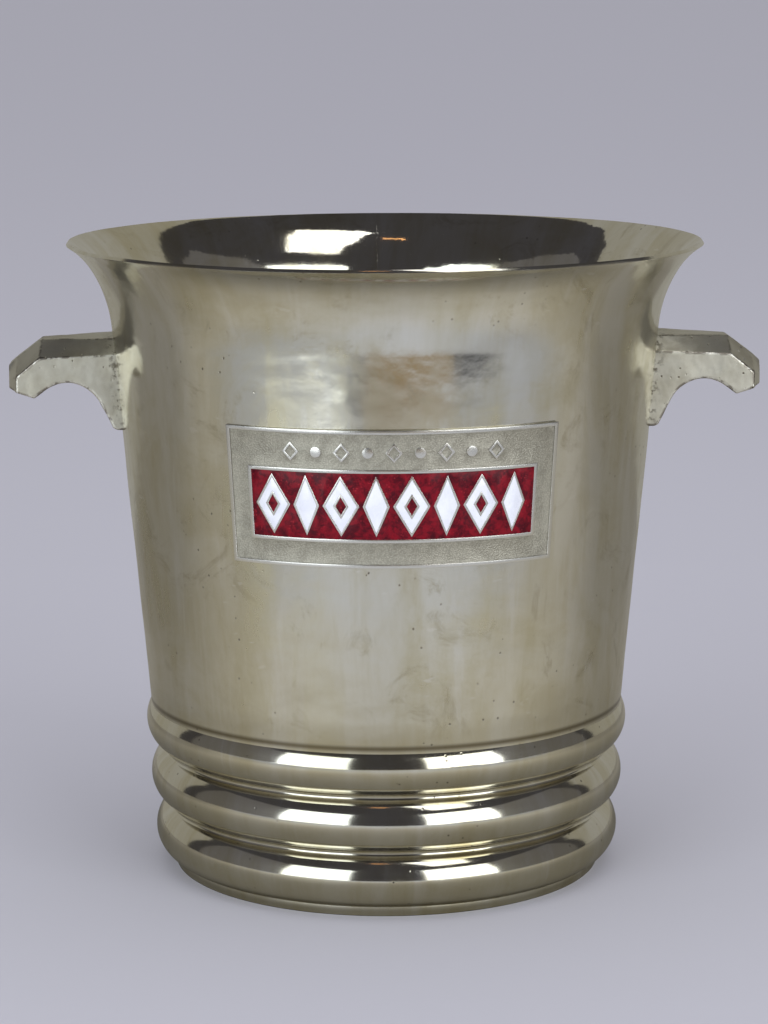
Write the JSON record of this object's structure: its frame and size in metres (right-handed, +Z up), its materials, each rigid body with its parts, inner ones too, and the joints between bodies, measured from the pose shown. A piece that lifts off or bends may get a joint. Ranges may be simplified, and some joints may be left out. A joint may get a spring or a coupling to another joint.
{
  "type": "champagne bucket",
  "caption": "Plated metal champagne bucket with ribbed foot, flared lip, cast hook handles on both sides and a curved enamelled plaque of plain lozenges.",
  "frame": {"origin": "on the bucket's axis, on the surface that the foot stands on", "axes": "+Z up along the bucket's axis, X through the two handles, -Y out through the plaque"},
  "size_m": [0.2488, 0.2084, 0.2109],
  "materials": {
    "plated_shell": "polished",
    "plated_base": "satin",
    "cast_handle": "satin",
    "struck_plaque": "satin",
    "soft_solder": "satin",
    "red_enamel": "gloss",
    "white_enamel": "gloss"
  },
  "bodies": {
    "root": {"body_shell": "plated_shell", "base_plate": "plated_base", "base_solder_seam": "soft_solder", "left_handle": "cast_handle", "right_handle": "cast_handle", "left_handle_solder": "soft_solder", "right_handle_solder": "soft_solder", "plaque_plate": "struck_plaque", "plaque_solder": "soft_solder", "red_enamel_ground": "red_enamel", "white_enamel_1": "white_enamel", "white_enamel_2": "white_enamel", "white_enamel_3": "white_enamel", "white_enamel_4": "white_enamel", "white_enamel_5": "white_enamel", "white_enamel_6": "white_enamel", "white_enamel_7": "white_enamel", "white_enamel_8": "white_enamel", "red_enamel_island_1": "red_enamel", "red_enamel_island_2": "red_enamel", "red_enamel_island_3": "red_enamel", "red_enamel_island_4": "red_enamel"}
  },
  "joints": []
}
